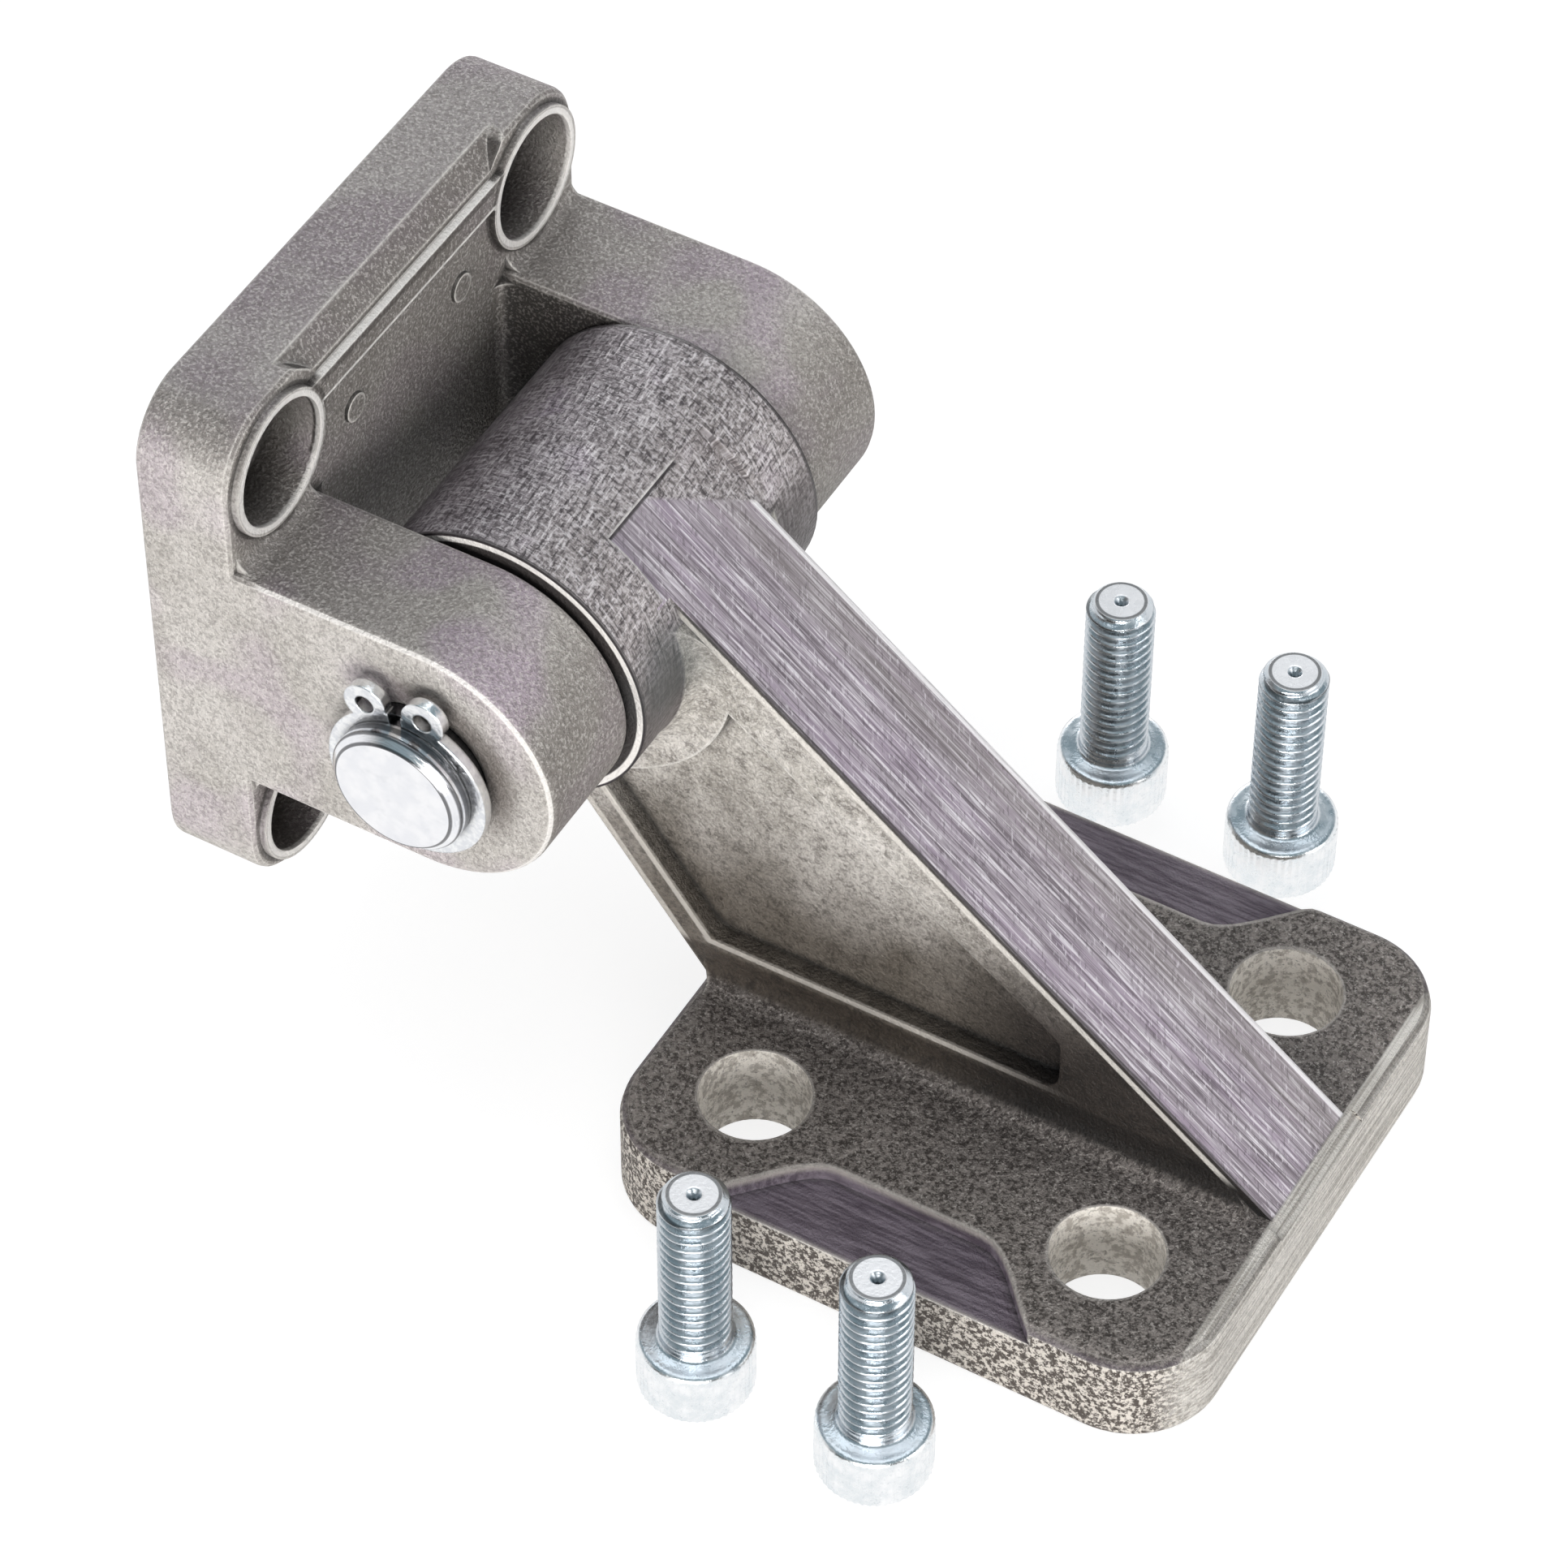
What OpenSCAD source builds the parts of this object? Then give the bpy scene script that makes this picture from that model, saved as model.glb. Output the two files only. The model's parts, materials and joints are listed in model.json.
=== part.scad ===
// Swivel fastener for a small pneumatic cylinder: a cast clevis that bolts to the
// cylinder's end cap, a right-angled foot bracket whose hub sits between the clevis
// ears, the pivot pin with its two circlips, and four loose cap screws.
// The origin is the centre of the foot's bolt pattern, on its underside.
// +X runs along the arm from the hub to the foot, +Y along the pin, +Z up.

/* [Foot plate] */
// Length of the foot plate, along the arm
foot_l = 55; // [52:1:75]
// How much wider the foot plate is than the clevis
foot_extra_w = 0.5; // [0:0.5:20]
// Thickness of the foot plate
foot_t = 9; // [7:0.5:13]
// Radius of the foot plate's corners, seen from above
foot_corner_r = 8; // [6:0.5:10]
// Rounding of the foot plate's upper edge
foot_edge_r = 1.4; // [0.8:0.1:2]
// Spacing of the foot holes along the arm
foot_hole_dx = 33; // [31:0.5:34]
// Spacing of the foot holes along the pin
foot_hole_dy = 32; // [30:0.5:33]
// Diameter of the foot holes
foot_hole_d = 9.6; // [8:0.1:11]
// Distance from the foot plate's edge under the hub to its first holes
foot_margin = 10.4; // [9.5:0.1:12]
// Length of the relief between two holes, at the side of the plate
relief_l = 34.5; // [30:0.5:36]
// Length of the bend at each end of the relief, round the hole's pad
relief_bend = 10.5; // [8:0.5:13]
// How far the relief reaches in from the side of the plate
relief_w = 6.8; // [5:0.1:8]
// Depth of the relief below the pads
relief_depth = 1.7; // [1.2:0.1:3]

/* [Arm and hub] */
// Height of the pin's axis over the mounting surface
pivot_h = 46; // [44:0.5:60]
// Distance along the arm from the pin's axis to the centre of the foot holes
pivot_reach = 41; // [38:0.5:55]
// Diameter of the hub
hub_d = 26.4; // [25:0.1:27.4]
// Width of the arm
arm_w = 13; // [11:0.5:18]
// Distance from the pin's axis to the ground flat on top of the arm
strap_off = 12.4; // [11.5:0.1:12.4]
// How far the ground flat reaches past the arm on the hub, each side
ground_over = 0.8; // [0.4:0.1:2]
// How far the ground flat reaches over the hub's crown, to its small step
ground_start = 2.3; // [1:0.1:3]
// Thickness of the arm's upper flange beside the hub
strap_t = 5.8; // [4:0.1:6.5]
// Angle by which the upper flange gets thinner towards the foot
strap_taper = 2; // [1:0.5:4]
// Distance from the pin's axis to the back face of the arm's rear rib
rib_off = 10.5; // [9:0.1:11.5]
// Thickness of the rear rib
rib_t = 3; // [2.5:0.1:4]
// Height of the web's foot strip above the plate
base_strip_h = 4.6; // [3:0.1:5.5]
// Depth of the pocket in each side of the web
pocket_depth = 2; // [1:0.1:3.5]
// Radius of the pocket's corners
pocket_corner_r = 1.8; // [1:0.1:2]
// Height of the pocket's narrow end towards the foot
pocket_tip_h = 6; // [4.5:0.1:8]
// Metal left round the hub before the pocket starts
hub_ring = 3.8; // [3:0.1:5]
// Radius of the fillets where arm, hub and plate meet
arm_fillet_r = 2.2; // [1:0.1:3]

/* [Clevis] */
// Side of the square flange, and distance over the outer faces of the two ears
flange_w = 52; // [51:0.5:56]
// Thickness of the flange
flange_t = 8.5; // [8:0.1:10]
// Radius of the flange's corners
flange_corner_r = 6; // [4:0.5:7]
// Rounding of the flange's front edge
flange_edge_r = 0.8; // [0.4:0.1:1.2]
// Distance from the flange's back face to the pin's axis
flange_to_pin = 25.5; // [25:0.1:30]
// Spacing of the flange's screw holes, both ways
screw_pitch = 38; // [37.5:0.1:38.5]
// Diameter of the flange's screw holes
screw_hole_d = 6.6; // [6.3:0.1:7]
// Diameter of the counterbores
counterbore_d = 11; // [10.4:0.1:11.4]
// Depth of the counterbores below the flange's front face
counterbore_depth = 4.2; // [3:0.1:4.8]
// Width of the raised rim round each counterbore
rim_w = 0.8; // [0.5:0.1:1]
// Height of that rim and of the bead between the rims
rim_h = 0.6; // [0.3:0.1:1]
// Height of the bead that joins two rims
bead_w = 2.7; // [2:0.1:3.5]
// Gap between the two ears
ear_gap = 28.4; // [26:0.1:30]
// Radius of the ears' ends round the pin
ear_r = 12; // [11:0.1:12.4]
// Rounding of the ears' edges
ear_edge_r = 0.7; // [0.3:0.1:1.2]
// Fillet between the ears and the flange
ear_fillet_r = 1.6; // [1:0.1:2]
// Wall left round the counterbores where the bare label facet ends
label_end_w = 2.1; // [1.2:0.1:2.5]
// Width of the label facet over the flange's top
label_top_w = 1.8; // [1:0.1:3]
// Height of the label facet down the flange's front
label_front_h = 2.8; // [1.5:0.1:4]
// Distance between the two ejector marks on the flange's front
mark_pitch = 16; // [12:0.5:18]
// Height of the ejector marks above the pin's axis
mark_h = 15.5; // [14:0.5:17]
// Diameter of the ejector marks
mark_d = 2.6; // [2:0.1:3]
// Diameter of the pilot recess in the flange's back
pilot_d = 35; // [30:0.5:36]
// Depth of the pilot recess
pilot_depth = 3; // [2:0.1:3.5]

/* [Pin, bushes and circlips] */
// Diameter of the pivot pin
pin_d = 12; // [10:0.1:12.5]
// How far the pin stands out of each ear, if it lies in the middle
pin_out = 3.8; // [3.4:0.1:5]
// How far the pin is pushed towards -Y, as a share of its end play
pin_push = 0.8; // [0:0.1:0.9]
// Chamfer of the pin's ends
pin_chamfer = 0.7; // [0.3:0.1:1]
// Radial running clearance of the pin in the ears and in the bushes
pin_clearance = 0.04; // [0.02:0.01:0.08]
// Wall of the plain bushes in the hub
bush_wall = 1; // [0.8:0.1:1.5]
// Length of each plain bush
bush_l = 12; // [8:0.5:13]
// How far each bush sits back from the hub's face
bush_inset = 0.3; // [0.1:0.1:0.6]
// Gap between the hub's faces and the ears, each side
hub_side_gap = 0.4; // [0.2:0.05:0.6]
// Thickness of the circlips
clip_t = 1; // [0.8:0.1:1.2]
// Depth of the circlip groove in the pin
groove_depth = 0.25; // [0.2:0.05:0.5]
// Gap between an ear and its circlip, if the pin lies in the middle
clip_gap = 0.75; // [0.1:0.05:0.8]
// Radial width of a circlip opposite its gap
clip_back_w = 1.8; // [1.5:0.1:2.2]
// Radial width of a circlip beside its lugs
clip_front_w = 1.2; // [1:0.1:1.5]
// Radius of a circlip's lugs
lug_r = 1.9; // [1.5:0.1:2]
// Diameter of the plier holes in the lugs
lug_hole_d = 1.7; // [1.3:0.1:1.8]
// Angle of each lug from the middle of the circlip's gap
lug_angle = 20.5; // [16:0.5:24]
// Turn of the circlips' gap from straight up, towards the flange
clip_turn = 7; // [0:1:45]

/* [Cap screws] */
// Thread diameter of the screws
screw_d = 6; // [5:0.1:6]
// Length of the screws under the head
screw_l = 18; // [14:1:30]
// Diameter of the screw heads
head_d = 9.8; // [9:0.1:10.2]
// Height of the screw heads
head_h = 6; // [5:0.1:6.5]
// Width across flats of the hexagon sockets
socket_af = 5; // [4:0.1:5.2]
// Depth of the hexagon sockets
socket_depth = 3; // [2:0.1:3.5]
// Chamfer of the screw tips and heads
screw_chamfer = 0.7; // [0.4:0.1:0.9]
// Distance along the arm from the pin's axis to the first loose screw on the +Y side
loose_far_x = 30.4; // [28:0.1:40]
// Distance along the arm from the pin's axis to the first loose screw on the -Y side
loose_near_x = 31.6; // [28:0.1:40]
// Spacing of the two loose screws of one side, along the arm
loose_dx = 16.6; // [14:0.1:25]
// Distance of the loose screws from the arm's middle plane on the +Y side
loose_far_y = 36.3; // [36:0.1:50]
// Distance of the loose screws from the arm's middle plane on the -Y side
loose_near_y = 37.8; // [36:0.1:50]

/* [Hidden] */
$fn = 64;
eps = 0.01;
// Rounding of the edges round the two machined mounting faces
back_edge_r = 0.4;

// Widths that follow from the flange, so that foot, ears, pin and circlips keep together
foot_w = flange_w + foot_extra_w;
ears_w = flange_w;

// Places that follow from the sizes, measured from the pin's axis along X and Z
foot_x0 = pivot_reach - foot_hole_dx / 2 - foot_margin;
foot_x1 = foot_x0 + foot_l;
foot_top = foot_t - pivot_h;
hub_r = hub_d / 2;
hub_w = ear_gap - 2 * hub_side_gap;
ear_t = (ears_w - ear_gap) / 2;
flange_front = flange_t - flange_to_pin;
pin_l = ears_w + 2 * pin_out;
pin_y = -pin_push * clip_gap;
groove_y = ears_w / 2 + clip_gap;
groove_r = pin_d / 2 - groove_depth;
bush_r = pin_d / 2 + pin_clearance + bush_wall;

// The arm's ground flat runs from the foot plate's far upper edge to the hub
strap_x1 = foot_x1 - foot_edge_r;
strap_angle = atan2(-foot_top, strap_x1) + asin(strap_off / norm([strap_x1, foot_top]));
strap_n = [sin(strap_angle), cos(strap_angle)];
// The rear rib's back face runs from the plate's near upper edge to the hub
rib_x0 = foot_x0 + foot_edge_r / 4;
rib_angle = atan2(-foot_top, -rib_x0) + asin(rib_off / norm([rib_x0, foot_top]));
rib_u = [cos(rib_angle), sin(rib_angle)];
rib_n = [-rib_u[1], rib_u[0]];

// Points of a quarter circle of radius r about c, from angle a0 to a1
function arc(c, r, a0, a1, n = 4) =
    [for (i = [0:n]) c + r * [cos(a0 + (a1 - a0) * i / n), sin(a0 + (a1 - a0) * i / n)]];

// Half of a slab's section: reach h from the middle, thickness t, rounded edges e0 and e1
function edge_pts(h, t, e0, e1) = concat([[0, 0]], arc([h - e0, e0], e0, -90, 0, 3),
    arc([h - e1, t - e1], e1, 0, 90, 3), [[0, t]]);

// The whole section, mirrored about its middle
function section_pts(h, t, e0, e1) = let (p = edge_pts(h, t, e0, e1), n = len(p))
    concat([for (i = [1:n - 2]) p[i]], [for (i = [n - 2:-1:1]) [-p[i][0], p[i][1]]]);

// A polygon's corner i rounded to radius r
function round_corner(pts, i, r) = let (n = len(pts), p = pts[i],
        a = pts[(i + n - 1) % n] - p, b = pts[(i + 1) % n] - p,
        ua = a / norm(a), ub = b / norm(b), half = acos(ua * ub) / 2,
        c = p + (ua + ub) / norm(ua + ub) * r / sin(half),
        d0 = p + ua * r / tan(half) - c, d1 = p + ub * r / tan(half) - c,
        a0 = atan2(d0[1], d0[0]), turn = atan2(d1[1], d1[0]) - a0,
        a1 = a0 + (turn > 180 ? turn - 360 : turn < -180 ? turn + 360 : turn))
    arc(c, r, a0, a1, 5);

function rounded(pts, radii) =
    [for (i = [0:len(pts) - 1]) each radii[i] > 0 ? round_corner(pts, i, radii[i]) : [pts[i]]];

// Where the line through p along u crosses the level z
function at_level(p, u, z) = p + u * (z - p[1]) / u[1];

// A slab in the XY plane with round corners and rounded lower and upper edges
module rounded_slab(l, w, r, t, e0, e1) {
    for (sx = [-1, 1], sy = [-1, 1])
        translate([sx * (l / 2 - r), sy * (w / 2 - r), 0])
            rotate_extrude() polygon(edge_pts(r, t, e0, e1));
    rotate([90, 0, 90]) linear_extrude(l - 2 * r, center = true)
        polygon(section_pts(w / 2, t, e0, e1));
    rotate([90, 0, 0]) linear_extrude(w - 2 * r, center = true)
        polygon(section_pts(l / 2, t, e0, e1));
}

// A round bar along Y, centred
module bar_y(r, l) {
    rotate([90, 0, 0]) cylinder(r = r, h = l, center = true);
}

// A flat shape in the XZ plane, given thickness along Y, centred
module plate_xz(w) {
    rotate([90, 0, 0]) linear_extrude(w, center = true) children();
}

// A concave fillet along Z between the faces x = 0 and y = 0, sunk a little into both
module fillet_bar(r, l) {
    sunk = 0.4;
    linear_extrude(l) difference() {
        translate([-sunk, -sunk]) square(r + sunk);
        translate([r, r]) circle(r);
    }
}

module at_pivot() {
    translate([-pivot_reach, 0, pivot_h]) children();
}

// Side view of the arm between the hub and the foot plate, with stock left on its top
module arm_outline() {
    stock = 1;
    polygon([strap_n * (strap_off + stock), [strap_x1, foot_top] + strap_n * stock,
        [strap_x1, foot_top - foot_t / 2], [rib_x0, foot_top - foot_t / 2], [rib_x0, foot_top],
        rib_n * rib_off]);
}

// Side view of the pocket in the web, between the rib, the upper flange and the foot strip
module pocket_outline() {
    floor_z = foot_top + base_strip_h;
    rib_in = rib_n * (rib_off - rib_t);
    flange_in = strap_n * (strap_off - strap_t);
    slope = [cos(strap_angle - strap_taper), -sin(strap_angle - strap_taper)];
    tip = at_level(flange_in, slope, floor_z + pocket_tip_h);
    difference() {
        polygon(rounded([at_level(rib_in, rib_u, floor_z), [tip[0], floor_z], tip,
            flange_in, rib_in], [pocket_corner_r, pocket_corner_r, pocket_corner_r, 0, 0]));
        circle(hub_r + hub_ring);
    }
}

// Plan view of the relief in one long side, bending smoothly round the two holes' pads
module relief_outline() {
    steps = 12;
    reach = relief_w + 1;
    bend = [for (i = [0:steps]) let (t = i / steps)
        [relief_l / 2 - relief_bend * (1 - t), foot_w / 2 - relief_w + reach * t * t * (3 - 2 * t)]];
    polygon(concat(bend, [for (i = [steps:-1:0]) [-bend[i][0], bend[i][1]]]));
}

// Fillets between the arm and the top of the plate, and round the hub
module arm_fillets() {
    intersection() {
        union() {
            for (side = [0, 1]) mirror([0, side, 0])
                translate([foot_x0, arm_w / 2, foot_top]) rotate([90, 0, 90])
                    fillet_bar(arm_fillet_r, foot_l);
            for (side = [0, 1]) mirror([0, side, 0])
                rotate([-90, 0, 0]) translate([0, 0, arm_w / 2]) rotate_extrude()
                    difference() {
                        translate([hub_r - 1, -0.4])
                            square([arm_fillet_r + 1, arm_fillet_r + 0.4]);
                        translate([hub_r + arm_fillet_r, arm_fillet_r])
                            circle(arm_fillet_r);
                    }
        }
        plate_xz(foot_w) polygon([strap_n * (strap_off - 1),
            [strap_x1 - foot_edge_r, foot_top], [strap_x1 - foot_edge_r, foot_top - 1],
            [rib_x0 + foot_edge_r, foot_top - 1], rib_n * (rib_off - 1)]);
    }
}

module foot_bracket() {
    color([0.66, 0.63, 0.61]) difference() {
        union() {
            translate([foot_x0 + foot_l / 2 - pivot_reach, 0, 0])
                rounded_slab(foot_l, foot_w, foot_corner_r, foot_t, back_edge_r, foot_edge_r);
            at_pivot() {
                plate_xz(arm_w) arm_outline();
                bar_y(hub_r, hub_w);
                arm_fillets();
            }
        }
        at_pivot() {
            rotate([0, strap_angle, 0])
                translate([-ground_start, -arm_w / 2 - ground_over, strap_off])
                    cube([foot_x1 + 2 * hub_r, arm_w + 2 * ground_over, hub_r]);
            for (side = [-1, 1])
                translate([0, side * arm_w / 2, 0]) plate_xz(2 * pocket_depth) pocket_outline();
            bar_y(bush_r, hub_w + 1);
        }
        for (side = [0, 1])
            mirror([0, side, 0]) translate([0, 0, foot_t - relief_depth])
                linear_extrude(foot_t) relief_outline();
        for (sx = [-1, 1], sy = [-1, 1])
            translate([sx * foot_hole_dx / 2, sy * foot_hole_dy / 2, -1])
                cylinder(d = foot_hole_d, h = foot_t + 2);
    }
}

// A plain bush just inside the hub's face on the +Y side
module bush() {
    at_pivot() translate([0, hub_w / 2 - bush_inset - bush_l / 2, 0]) difference() {
        bar_y(bush_r, bush_l);
        bar_y(pin_d / 2 + pin_clearance, bush_l + 1);
    }
}

module bush_near() {
    color([0.72, 0.55, 0.34]) mirror([0, 1, 0]) bush();
}

module bush_far() {
    color([0.72, 0.55, 0.34]) bush();
}

// One ear on the +Y side, with its round end about the pin
module ear() {
    translate([0, ear_gap / 2, 0]) rotate([-90, 0, 0])
        rotate_extrude() polygon(edge_pts(ear_r, ear_t, ear_edge_r, ear_edge_r));
    translate([flange_front - flange_t / 2, ear_gap / 2, 0]) rotate([90, 0, 90])
        linear_extrude(flange_t / 2 - flange_front) rotate(-90)
            polygon(section_pts(ear_r, ear_t, ear_edge_r, ear_edge_r));
}

// Fillets between one ear and the flange's front face
module ear_fillets() {
    for (up = [0, 1]) mirror([0, 0, up])
        translate([flange_front, ears_w / 2 - ear_edge_r, ear_r]) rotate([90, 0, 0])
            fillet_bar(ear_fillet_r, ear_t - 2 * ear_edge_r);
    translate([flange_front, ear_gap / 2, -ear_r + ear_edge_r]) mirror([0, 1, 0])
        fillet_bar(ear_fillet_r, 2 * (ear_r - ear_edge_r));
}

module clevis() {
    color([0.69, 0.67, 0.65]) at_pivot() difference() {
        union() {
            translate([-flange_to_pin, 0, 0]) rotate([0, 90, 0])
                rounded_slab(flange_w, flange_w, flange_corner_r, flange_t, back_edge_r, flange_edge_r);
            for (side = [0, 1]) mirror([0, side, 0]) {
                ear();
                ear_fillets();
            }
            for (sy = [-1, 1], sz = [-1, 1])
                translate([flange_front - 1, sy * screw_pitch / 2, sz * screw_pitch / 2])
                    rotate([0, 90, 0]) cylinder(d = counterbore_d + 2 * rim_w, h = 1 + rim_h);
            for (sz = [-1, 1])
                translate([flange_front - 1, -screw_pitch / 2,
                        sz * (flange_w / 2 - label_front_h - bead_w / 2) - bead_w / 2])
                    cube([1 + rim_h, screw_pitch, bead_w]);
            for (sy = [-1, 1])
                translate([flange_front - 1, sy * mark_pitch / 2, mark_h])
                    rotate([0, 90, 0]) cylinder(d = mark_d, h = 1 + rim_h / 2);
        }
        // Label facet along the top edge of the front face, ending round the counterbores
        difference() {
            plate_xz(screw_pitch) polygon([
                [flange_front - label_top_w, flange_w / 2 + eps],
                [flange_front + rim_h + eps, flange_w / 2 - label_front_h],
                [flange_front + 2 * rim_h + 1, flange_w / 2 - label_front_h],
                [flange_front + 2 * rim_h + 1, flange_w / 2 + 1],
                [flange_front - label_top_w, flange_w / 2 + 1]]);
            for (sy = [-1, 1])
                translate([flange_front - label_top_w - 1, sy * screw_pitch / 2, screw_pitch / 2])
                    rotate([0, 90, 0])
                        cylinder(d = counterbore_d + 2 * label_end_w, h = label_top_w + 2 * rim_h + 3);
        }
        // Pilot recess, screw holes with their counterbores, and the pin's bore
        translate([-flange_to_pin - 1, 0, 0]) rotate([0, 90, 0])
            cylinder(d = pilot_d, h = 1 + pilot_depth);
        for (sy = [-1, 1], sz = [-1, 1])
            translate([-flange_to_pin - 1, sy * screw_pitch / 2, sz * screw_pitch / 2])
                rotate([0, 90, 0]) {
                    cylinder(d = screw_hole_d, h = flange_t + 2);
                    translate([0, 0, 1 + flange_t - counterbore_depth])
                        cylinder(d = counterbore_d, h = flange_t);
                }
        bar_y(pin_d / 2 + pin_clearance, ears_w + 2);
    }
}

module pivot_pin() {
    color([0.9, 0.91, 0.93]) at_pivot() translate([0, pin_y, 0]) difference() {
        rotate([90, 0, 0]) translate([0, 0, -pin_l / 2]) {
            translate([0, 0, pin_chamfer]) cylinder(d = pin_d, h = pin_l - 2 * pin_chamfer);
            for (end = [0, 1]) translate([0, 0, end * pin_l]) mirror([0, 0, end])
                cylinder(d1 = pin_d - 2 * pin_chamfer, d2 = pin_d, h = pin_chamfer);
        }
        for (side = [-1, 1])
            translate([0, side * (groove_y + clip_t / 2), 0]) difference() {
                bar_y(pin_d / 2 + 1, clip_t);
                bar_y(groove_r, clip_t + 1);
            }
    }
}

// A circlip in the XY plane, its gap towards +Y
module circlip_outline() {
    outer_r = groove_r + (clip_back_w + clip_front_w) / 2;
    lug_c = groove_r + lug_r;
    gap_half = lug_angle / 4;
    difference() {
        union() {
            translate([0, (clip_front_w - clip_back_w) / 2]) circle(outer_r);
            for (side = [-1, 1]) rotate(side * lug_angle) translate([0, lug_c]) circle(lug_r);
        }
        circle(groove_r);
        for (side = [-1, 1])
            rotate(side * lug_angle) translate([0, lug_c]) circle(d = lug_hole_d);
        polygon([[0, 0], 2 * lug_c * [-sin(gap_half), cos(gap_half)],
            2 * lug_c * [sin(gap_half), cos(gap_half)]]);
    }
}

module circlip(side) {
    at_pivot() translate([0, pin_y + side * (groove_y + clip_t / 2), 0])
        rotate([90, -clip_turn, 0]) linear_extrude(clip_t, center = true) circlip_outline();
}

module circlip_near() {
    color([0.82, 0.84, 0.87]) circlip(-1);
}

module circlip_far() {
    color([0.82, 0.84, 0.87]) circlip(1);
}

// A cap screw standing on its head, tip up
module cap_screw() {
    color([0.8, 0.83, 0.87]) difference() {
        union() {
            cylinder(d1 = head_d - screw_chamfer, d2 = head_d, h = screw_chamfer / 2);
            translate([0, 0, screw_chamfer / 2]) cylinder(d = head_d, h = head_h - screw_chamfer / 2);
            cylinder(d = screw_d, h = head_h + screw_l - screw_chamfer);
            translate([0, 0, head_h + screw_l - screw_chamfer])
                cylinder(d1 = screw_d, d2 = screw_d - 2 * screw_chamfer, h = screw_chamfer);
        }
        translate([0, 0, -1]) cylinder(d = socket_af / cos(30), h = 1 + socket_depth, $fn = 6);
    }
}

// Screws 1 and 2 stand beyond the arm, 3 and 4 before it
module loose_screw(i) {
    first = i < 2 ? [loose_far_x, loose_far_y] : [loose_near_x, -loose_near_y];
    translate([first[0] - pivot_reach + (i % 2) * loose_dx, first[1], 0]) cap_screw();
}

module cap_screw_1() {
    loose_screw(0);
}

module cap_screw_2() {
    loose_screw(1);
}

module cap_screw_3() {
    loose_screw(2);
}

module cap_screw_4() {
    loose_screw(3);
}

foot_bracket();
bush_near();
bush_far();
clevis();
pivot_pin();
circlip_near();
circlip_far();
cap_screw_1();
cap_screw_2();
cap_screw_3();
cap_screw_4();
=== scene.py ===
# Looks of the swivel fastener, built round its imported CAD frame.
import json
import math

import bmesh
import bpy
from mathutils import Matrix, Vector


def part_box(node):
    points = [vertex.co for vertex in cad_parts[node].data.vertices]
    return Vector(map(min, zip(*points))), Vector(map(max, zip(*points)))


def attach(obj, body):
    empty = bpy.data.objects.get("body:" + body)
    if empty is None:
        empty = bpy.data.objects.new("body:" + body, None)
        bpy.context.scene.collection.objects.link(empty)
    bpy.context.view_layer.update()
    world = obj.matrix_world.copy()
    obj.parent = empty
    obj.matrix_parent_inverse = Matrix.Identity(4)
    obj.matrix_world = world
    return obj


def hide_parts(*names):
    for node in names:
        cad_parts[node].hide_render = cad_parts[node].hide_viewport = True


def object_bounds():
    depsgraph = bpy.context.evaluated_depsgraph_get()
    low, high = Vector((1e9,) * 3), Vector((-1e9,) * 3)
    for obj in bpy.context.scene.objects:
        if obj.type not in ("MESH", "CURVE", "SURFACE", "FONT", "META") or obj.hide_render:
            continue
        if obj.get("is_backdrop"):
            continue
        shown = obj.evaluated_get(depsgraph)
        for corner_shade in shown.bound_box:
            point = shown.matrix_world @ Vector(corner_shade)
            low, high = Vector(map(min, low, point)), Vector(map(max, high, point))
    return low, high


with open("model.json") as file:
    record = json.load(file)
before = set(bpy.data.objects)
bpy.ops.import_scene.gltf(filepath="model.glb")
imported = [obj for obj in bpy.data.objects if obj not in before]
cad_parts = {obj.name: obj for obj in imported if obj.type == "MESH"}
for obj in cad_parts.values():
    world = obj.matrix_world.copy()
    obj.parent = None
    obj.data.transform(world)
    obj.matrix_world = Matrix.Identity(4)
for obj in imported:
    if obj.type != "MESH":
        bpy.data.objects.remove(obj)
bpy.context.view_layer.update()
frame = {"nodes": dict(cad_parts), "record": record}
scene = bpy.context.scene
MM = 0.001

# Places read off the CAD nodes at rest, and sizes of the part's source, all in metres
pin_lo, pin_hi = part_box("pivot_pin")
clevis_lo, clevis_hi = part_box("clevis")
foot_lo, foot_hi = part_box("foot_bracket")
PIN = Vector(((pin_lo.x + pin_hi.x) / 2, 0, (pin_lo.z + pin_hi.z) / 2))
EAR_GAP = 0.0284
HUB_SIDE_GAP = 0.0004
HUB_R = 0.0132
HUB_HALF = EAR_GAP / 2 - HUB_SIDE_GAP
FLANGE_T = 0.0085
FOOT_LENGTH = 0.055
FOOT_T = 0.009
ARM_HALF = 0.0065

# Ground flat on the arm's back: its distance from the pin's axis, its slope, its normal and its run
STRAP_OFF = 0.0124
STRAP_INSET = 0.0014
STRAP_X1 = foot_hi.x - STRAP_INSET - PIN.x
DROP = FOOT_T - PIN.z
STRAP_ANGLE = math.atan2(-DROP, STRAP_X1) + math.asin(STRAP_OFF / math.hypot(STRAP_X1, DROP))
STRAP_N = Vector((math.sin(STRAP_ANGLE), 0, math.cos(STRAP_ANGLE)))
STRAP_U = Vector((math.cos(STRAP_ANGLE), 0, -math.sin(STRAP_ANGLE)))
GROUND_START = 0.0023

# Sloping rib under the arm
RIB_OFF = 0.0105
RIB_INSET = 0.00035
RIB_X = foot_hi.x - FOOT_LENGTH + RIB_INSET - PIN.x
RIB_ANGLE = math.atan2(DROP, RIB_X) - math.acos(RIB_OFF / math.hypot(RIB_X, DROP))
RIB_N = Vector((math.cos(RIB_ANGLE), 0, math.sin(RIB_ANGLE)))

# Front of the flange, and the two raised lines under its top edge
FLANGE_FRONT = clevis_lo.x + FLANGE_T
BEAD_TOP = clevis_hi.z - 0.0028
BEAD_LOW = BEAD_TOP - 0.0027

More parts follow.
